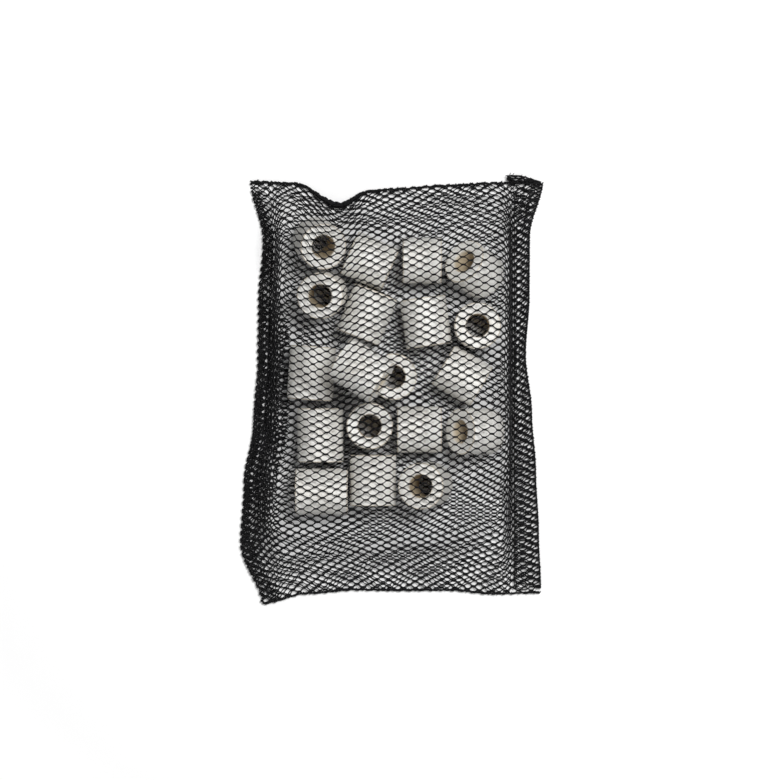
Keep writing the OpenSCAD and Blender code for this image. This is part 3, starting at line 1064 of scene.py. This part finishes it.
@dataclass(frozen=True)
class RolledEdge:
    """Net rolled up along an edge: strands twisted about a line, with loops around them."""

    strands: int
    pitch: float
    loop_pitch: float
    thread: float = 0.42
    out: float = 0.62
    strand: float = 0.8
    core: float = 1.2
    wander: float = 0.35
    wander_step: float = 2.0
    lean: Pair = (0.3, 0.9)
    seed: int = 11

    def lay(self, skein: Skein, line: Array, radius: Array) -> None:
        """Lay the roll along a line.

        Args:
            skein: The threads to add to.
            line: Points along the middle of the roll, in millimetres.
            radius: Radius of the roll at each point.
        """
        rng = np.random.default_rng(self.seed)
        run = skein.run(line)
        ahead = skein.unit(np.gradient(line, axis=0))
        side = np.cross(ahead, UP)
        over = np.cross(side, ahead)
        marks = np.arange(0.0, run[-1] + 2 * self.wander_step, self.wander_step)
        for strand in range(self.strands):
            sway = np.interp(run, marks, rng.normal(0.0, self.wander, len(marks)))
            angle = 2 * np.pi * (strand / self.strands + run / self.pitch) + sway
            out = (self.out + 0.1 * sway) * radius
            points = line + out[:, None] * (np.cos(angle)[:, None] * side + np.sin(angle)[:, None] * over)
            skein.add(points, UP, self.strand * radius)
        skein.add(line, UP, self.core * radius)
        turn = np.linspace(0.0, 2 * np.pi, 13)
        for place in np.arange(self.loop_pitch / 2, run[-1], self.loop_pitch):
            n = int(np.searchsorted(run, place + rng.normal(0.0, 0.2)))
            n = min(max(n, 1), len(line) - 2)
            lean = rng.uniform(*self.lean)
            reach = radius[n] + 0.1 * self.thread
            loop = line[n] + reach * (np.cos(turn)[:, None] * side[n] + np.sin(turn)[:, None] * over[n]) \
                + lean * np.sin(turn / 2)[:, None] * ahead[n]
            skein.add(loop, ahead[n], self.thread)


@dataclass(frozen=True)
class Stitching:
    """A sewn line: a zigzag thread over the net, or a running thread through it."""

    pitch: float
    width: float
    rise: float
    thread: float = 0.34
    points: int = 8

    def lay(self, skein: Skein, line: Array) -> None:
        """Sew along a line.

        Args:
            skein: The threads to add to.
            line: Points along the middle of the stitches, in millimetres.
        """
        run = skein.run(line)
        stitches = max(2, round(run[-1] / self.pitch))
        share = np.linspace(0.0, stitches, stitches * self.points + 1)
        at = share / stitches * run[-1]
        middle = np.stack([np.interp(at, run, line[:, d]) for d in range(3)], axis=1)
        side = skein.unit(np.cross(np.gradient(middle, axis=0), UP))
        sway = self.width / 2 * np.sin(np.pi * share)
        lift = self.rise * np.abs(np.sin(np.pi * (share + 0.5)))
        skein.add(middle + sway[:, None] * side + lift[:, None] * UP, UP, self.thread)


@dataclass(frozen=True)
class Strand:
    """A single thread, with its thickness at both ends."""

    root: float
    tip: float

    def lay(self, skein: Skein, line: Array) -> None:
        """Lay the thread along a line."""
        skein.add(line, UP, np.linspace(self.root, self.tip, len(line)))


@dataclass
class NetBag:
    """The sewn bag: two panels of net, its hem, fold, edging, seam and stitches.

    Heights are millimetres above the table. Shares run from 0 to 1 across the bag or along it. The rows of
    the hem's swells say how much thicker it is, where and how wide. A bulk is a thread's thickness at one
    end of a cloth and what is added towards the other.
    """

    outline: BagOutline
    bed: RingBed
    yarns: dict[Slot, bpy.types.Material]
    front_knit: Knit = Knit()
    back_knit: Knit = Knit(cell_width=4.2, cell_height=2.3, thread=0.36, seed=9)
    fold_knit: Knit = Knit(cell_width=2.5, cell_height=2.3, bar=0.6, thread=0.4, jitter=0.07, seed=8)
    band_knits: tuple[Knit, ...] = (
        Knit(cell_width=3.9, cell_height=2.3, thread=0.44, jitter=0.06, seed=6),
        Knit(cell_width=3.4, cell_height=2.3, thread=0.44, jitter=0.06, seed=7))
    tail_knits: tuple[Knit, ...] = (
        Knit(cell_width=2.6, cell_height=1.0, bar=0.6, thread=0.46, jitter=0.1, seed=3),
        Knit(cell_width=2.2, cell_height=1.0, bar=0.6, thread=0.46, jitter=0.1, seed=4))
    hem_roll: RolledEdge = RolledEdge(strands=5, pitch=6.0, loop_pitch=2.37)
    edging_roll: RolledEdge = RolledEdge(strands=4, pitch=4.2, loop_pitch=2.4, thread=0.36, seed=5)
    seam_run: Stitching = Stitching(pitch=2.4, width=0.0, rise=0.35, thread=0.28)
    seam_zigzag: Stitching = Stitching(pitch=1.9, width=1.1, rise=0.25, thread=0.28)
    mouth_run: Stitching = Stitching(pitch=2.6, width=0.25, rise=0.3)
    fold_run: Stitching = Stitching(pitch=2.43, width=0.9, rise=0.25)
    band_edge: Strand = Strand(root=0.5, tip=0.5)
    tail_edge: Strand = Strand(root=0.42, tip=0.42)
    fray: Strand = Strand(root=0.36, tip=0.16)
    back_height: float = 0.34
    hem_height: float = 0.75
    hem_thin: float = 0.3
    hem_swells: tuple[Triple, ...] = ((0.6, 0.3, 0.08), (0.2, 0.0, 0.05), (0.22, 1.0, 0.08))
    hem_draw: float = 0.12
    edging_height: float = 0.55
    edging_radius: float = 0.34
    edging_sway: float = 0.08
    fold_height: float = 1.2
    fold_radius: float = 0.45
    fold_draw: float = 0.6
    fold_over: float = 1.6
    fold_under: float = 2.4
    fold_corner: float = 3.6
    # The lower ply's extra reach under the flank and the thicker threads in the fold's middle: partly bunched
    # net, partly painted shade of the pile.
    fold_bunch_and_shade: float = 8.0
    fold_bulk: Pair = (0.68, 0.4)
    fold_run_in: float = 1.3
    band_height: float = 1.0
    band_bulk: Pair = (0.72, 0.36)
    band_ply: Pair = (0.7, 0.35)
    seam_height: float = 1.25
    seam_ends: Pair = (-63.5, 63.0)
    zigzag_shift: Triple = (0.3, 0.0, 0.05)
    tail_start: float = 37.0
    tail_width: float = 10.6
    tail_top: float = 68.6
    tail_height: float = 1.7
    tail_ply: Pair = (0.4, 0.3)
    fray_roots: tuple[float, ...] = (0.02, 0.07, 0.16, 0.31, 0.47, 0.66, 0.84)
    open_share: float = 0.6

    def build(self) -> None:
        """Build every piece of the bag and log the flat size of its two panels."""
        front_cloth, back_cloth = Cloth.draped(self.outline, self.bed), self.back_cloth()
        front = self.made("front_net", [(self.front_knit, front_cloth)], "front_crown_net", "front_left_net",
                          "front_right_net", "front_bottom_net", "front_mouth_net")
        back = self.made("back_panel_net", [(self.back_knit, back_cloth)], "back_net")
        self.declare(front, front_cloth, [self.hem(), self.mouth_stitches(), self.tail()])
        self.declare(back, back_cloth, [self.fold(), self.fold_stitches(), self.band(),
                                                  self.seam_stitches(), self.edging()])

    def declare(self, piece: Piece, cloth: Cloth, pieces: list[Piece]) -> None:
        """Log the flat size of a panel.

        Args:
            piece: The panel.
            cloth: The cloth that it follows.
            pieces: What is sewn to it; not used.
        """
        LOG.info("%s is %.0f by %.0f mm flat", piece.name, cloth.width, cloth.length)

    def made(self, name: str, work: list[tuple], *nodes: str, slot: Slot = Slot.NET, sides: int = 5) -> Piece:
        """Make a piece of the bag from its threads.

        Args:
            name: Name of the piece.
            work: What lays each lot of threads, and where.
            nodes: The nodes that the piece stands for.
            slot: Its slot, which sets the yarn.
            sides: Faces around a thread.

        Returns:
            The dressed piece.
        """
        skein = Skein(sides)
        for maker, *where in work:
            maker.lay(skein, *where)
        return Bench.finish(skein.piece(name), self.yarns[slot], slot, "bag", *nodes)

    def back_cloth(self) -> Cloth:
        """Lay the back panel flat on the ground, its knit drawn a little askew.

        Returns:
            The cloth of the panel.
        """
        u, v = Cloth.grid(121, 161)
        x, y = self.outline.flat(u, v)
        inside = 4 * u * (1 - u) * 4 * v * (1 - v)
        x = x + inside * (0.9 * np.sin(5.1 * v + 0.7) + 0.5 * np.sin(3.0 * u + 9.0 * v))
        y = y + inside * (0.8 * np.sin(4.3 * u + 1.1) + 0.4 * np.sin(8.0 * u - 4.0 * v))
        z = self.back_height + 0.08 * np.sin(9.0 * u + 2.0) * np.sin(11.0 * v)
        return Cloth(x, y, z)

    def edge_line(self, u: Array, v: Array, z: float | Array) -> Array:
        """Points on the flat bag at a height."""
        x, y = self.outline.flat(u, v)
        return np.stack([x, y, z + 0.0 * x], axis=1)

    def hem_radius(self, u: Array) -> Array:
        """Radius of the rolled hem along the mouth: thin, but thick in the notch and at the ends."""
        return self.hem_thin + sum(more * hump(u, place, width) for more, place, width in self.hem_swells)

    def hem(self) -> Piece:
        """Roll the hem along the mouth, drawn in by each cell of the net.

        Returns:
            The hem.
        """
        u = np.linspace(0.004, 0.985, 480)
        radius = self.hem_radius(u)
        line = self.edge_line(u, np.ones_like(u), self.hem_height + 0.5 * radius)
        cells = 2 * np.pi * line[:, 0] / self.hem_roll.loop_pitch
        line[:, 1] -= radius + self.hem_draw * (1.0 + np.sin(cells))
        return self.made("rolled_hem", [(self.hem_roll, line, radius)], "mouth_hem", sides=6)

    def edging(self) -> Piece:
        """Roll the thin uneven edging along the bottom.

        Returns:
            The edging.
        """
        u = np.linspace(0.006, 0.994, 300)
        radius = self.edging_radius + self.edging_sway * np.sin(37.0 * u) * np.sin(11.0 * u + 1.0)
        line = self.edge_line(u, np.zeros_like(u), self.edging_height + radius)
        line[:, 1] += radius + 0.1
        return self.made("edging_roll", [(self.edging_roll, line, radius)], "bottom_edging")

    def fold(self) -> Piece:
        """Fold the left edge, drawn in by each cell, its lower ply reaching further under the middle of the
        flank with thicker threads there, partly bunched net and partly painted shade of the pile.

        Returns:
            The fold.
        """
        v = np.linspace(0.012, 0.975, 541)[:, None]
        x, y = self.outline.flat(np.zeros_like(v), v)
        x = x + self.fold_draw * np.abs(np.sin(np.pi * y / self.fold_run.pitch))
        over = self.fold_over + self.fold_corner * hump(v, 0.0, 0.14)
        # Extra reach of the lower ply under the flank: partly bunched net, partly a dark sheet standing in
        # for the pile's shade.
        bunch_and_shade = self.fold_bunch_and_shade * hump(v, 0.45, 0.29, 4)
        under = self.fold_under + bunch_and_shade + self.fold_corner * hump(v, 0.0, 0.16)
        bend = np.linspace(np.pi / 2, 3 * np.pi / 2, 9)[None]
        inward = np.linspace(0.0, 1.0, 13)[None, 1:]
        outward = inward[:, ::-1]
        ripple = 0.25 * np.sin(60.0 * v) * np.sin(17.0 * v)
        r, z = self.fold_radius, self.fold_height
        across = np.hstack([x + r + over * outward, x + r * (1.0 + np.cos(bend)), x + r + under * inward])
        height = np.hstack([z + r + ripple * outward, z + r * np.sin(bend) + 0.0 * v,
                            z - r + 0.0 * v * inward])
        # Thicker threads in the middle of the fold: partly bunched net, partly painted shade.
        bulk = self.fold_bulk[0] + self.fold_bulk[1] * hump(v, 0.42, 0.33, 4)
        cloth = Cloth(across, y + 0.0 * across, height, bulk)
        return self.made("folded_edge", [(self.fold_knit, cloth)], "left_fold")

    def band(self) -> Piece:
        """Knit two plies of net outside the side seam, with a thread along their edge.

        Returns:
            The band.
        """
        u, v = np.meshgrid(np.linspace(0.02, 1.0, 21), np.linspace(0.008, 0.985, 161))
        x, y = self.outline.flat(u, v, "seam", "right")
        y = y + 0.8 * u
        z = self.band_height + 0.15 * np.sin(25.0 * v + 2.0 * u)
        bulk = self.band_bulk[0] + self.band_bulk[1] * u
        up, over = self.band_ply
        plies = enumerate(self.band_knits)
        work = [(knit, Cloth(x, y + up * ply, z + over * ply, bulk)) for ply, knit in plies]
        work.append((self.band_edge, work[0][1].points[:, -1] - (0.25, 0.0, 0.0)))
        return self.made("seam_ply", work, "seam_allowance_band")

    def seam_stitches(self) -> Piece:
        """Sew the side seam: a straight running thread and a zigzag over it.

        Returns:
            The stitches.
        """
        y = np.linspace(*self.seam_ends, 120)
        line = np.stack([self.outline.seam + 0.0 * y, y, self.seam_height + 0.0 * y], axis=1)
        work = [(self.seam_run, line), (self.seam_zigzag, line + self.zigzag_shift)]
        return self.made("side_seam", work, "side_seam_stitches", slot=Slot.THREAD)

    def mouth_stitches(self) -> Piece:
        """Sew running stitches along the hem.

        Returns:
            The stitches.
        """
        u = np.linspace(0.02, 0.83, 200)
        radius = self.hem_radius(u)
        line = self.edge_line(u, np.ones_like(u), self.hem_height + 1.35 * radius)
        line[:, 1] -= 1.5 * radius
        return self.made("mouth_seam", [(self.mouth_run, line)], "mouth_stitches", slot=Slot.THREAD)

    def fold_stitches(self) -> Piece:
        """Sew running stitches along the fold.

        Returns:
            The stitches.
        """
        v = np.linspace(0.02, 0.965, 220)
        line = self.edge_line(np.zeros_like(v), v, self.fold_height + self.fold_radius + 0.1)
        line[:, 0] += self.fold_run_in
        return self.made("fold_seam", [(self.fold_run, line)], "fold_stitches", slot=Slot.THREAD)

    def tail(self) -> Piece:
        """Knit the frayed scrap of net past the mouth, at the seam's end.

        Returns:
            The scrap.
        """
        u, v = Cloth.grid(41, 11)
        x = self.tail_start + self.tail_width * u
        top = self.tail_top + 0.35 * np.sin(3.4 * u + 0.2) - 1.9 * u ** 2
        share = (x - self.outline.left) / (self.outline.right - self.outline.left)
        low = np.maximum(self.outline.top_y(share) - 1.2, self.tail_top - 1.2 - 9.0 * u)
        x, y = x + 0.4 * v * np.sin(6.0 * u), low + (top - low) * v
        z = self.tail_height + 0.3 * np.sin(7.0 * u) * v
        aside, over = self.tail_ply
        work = [(knit, Cloth(x + aside * ply, y, z + over * ply)) for ply, knit in enumerate(self.tail_knits)]
        scrap = work[0][1]
        work.append((self.tail_edge, scrap.points[-1] - (0.0, 0.2, 0.0)))
        rng = np.random.default_rng(21)
        s = np.linspace(0.0, 1.0, 9)
        for start in self.fray_roots:
            root, _, _ = scrap.read(np.array([start]), np.array([0.85]))
            angle = rng.uniform(-0.3, 1.2) + math.pi / 2 + rng.normal(0.0, 1.2) * s
            steps = rng.uniform(0.5, 1.0) / 8 * np.stack(
                [np.cos(angle), np.sin(angle), 0.35 * np.sin(3.0 * s + start * 9.0)], axis=1)
            work.append((self.fray, root + np.cumsum(steps, axis=0)))
        return self.made("frayed_tail", work, "seam_tail")


# Studio


@dataclass(frozen=True)
class Lamp:
    """A soft round lamp that points at the bag: place and size in metres, power in watts."""

    name: str
    place: Triple
    size: float
    power: float

    def build(self) -> None:
        """Hang the lamp."""
        lamp = bpy.data.lights.new(self.name, "AREA")
        lamp.shape = "DISK"
        lamp.size = self.size
        lamp.energy = self.power
        holder = Bench.add(self.name, lamp)
        holder.location = self.place
        holder.rotation_euler = (-Vector(self.place)).to_track_quat("-Z", "Y").to_euler()


@dataclass
class Studio:
    """Table, lamps, room and camera; the camera's lengths are in millimetres."""

    key: Lamp = Lamp("key_lamp", (0.19, 0.20, 0.70), 0.30, 4.7)
    fill: Lamp = Lamp("fill_lamp", (-0.12, -0.40, 0.66), 0.5, 1.05)
    room_level: float = 0.28
    table_size: float = 6.0
    table_drop: float = 0.1
    view_width: float = 249.6
    sensor: float = 36.0
    aim: Triple = (-0.58, -0.31, 6.0)
    distance: float = 1000.0

    def build(self) -> None:
        """Build the table, the lamps, the world and the camera."""
        self.table()
        self.key.build()
        self.fill.build()
        self.world()
        self.camera()
        bpy.context.scene.view_settings.view_transform = "Standard"

    def table(self) -> None:
        """White table top under the bag."""
        Bench.deselect()
        bpy.ops.mesh.primitive_plane_add(size=self.table_size, location=(0.0, 0.0, -self.table_drop * MM))
        table = bpy.context.object
        table.name = "table_top"
        table.data.materials.append(FloorFinish().material())

    def world(self) -> None:
        """Plain room, white to the camera and weak as a light."""
        world = bpy.data.worlds.new("pale_room")
        bpy.context.scene.world = world
        world.use_nodes = True
        board = NodeBoard(world.node_tree)
        level = board.add("ShaderNodeMapRange", Value=board.seen(), To_Min=self.room_level, To_Max=1.0)
        board.wire(board.nodes["Background"], Strength=level.outputs["Result"], Color=WHITE)

    def camera(self) -> None:
        """Camera straight above the bag, as in the photograph."""
        data = bpy.data.cameras.new("overhead_camera")
        data.sensor_width = self.sensor
        data.lens = self.sensor * self.distance / self.view_width
        camera = Bench.add("overhead_camera", data)
        camera.location = (self.aim[0] * MM, self.aim[1] * MM, (self.distance + self.aim[2]) * MM)
        bpy.context.scene.camera = camera


def main() -> None:
    """Build the rings, the bag and the studio."""
    pile = RingPile()
    pile.read_frame()
    pile.build(CeramicFinish().material())
    net = YarnFinish("black_net_yarn", (0.002, 0.002, 0.0025, 1.0), (0.009, 0.009, 0.01, 1.0))
    sewing = YarnFinish("black_sewing_thread", (0.003, 0.003, 0.003, 1.0), (0.008, 0.008, 0.0085, 1.0))
    outline = BagOutline()
    yarns = {Slot.NET: net.material(), Slot.THREAD: sewing.material()}
    NetBag(outline, RingBed(pile.rings, outline), yarns).build()
    Studio().build()


if __name__ == "__main__":
    main()
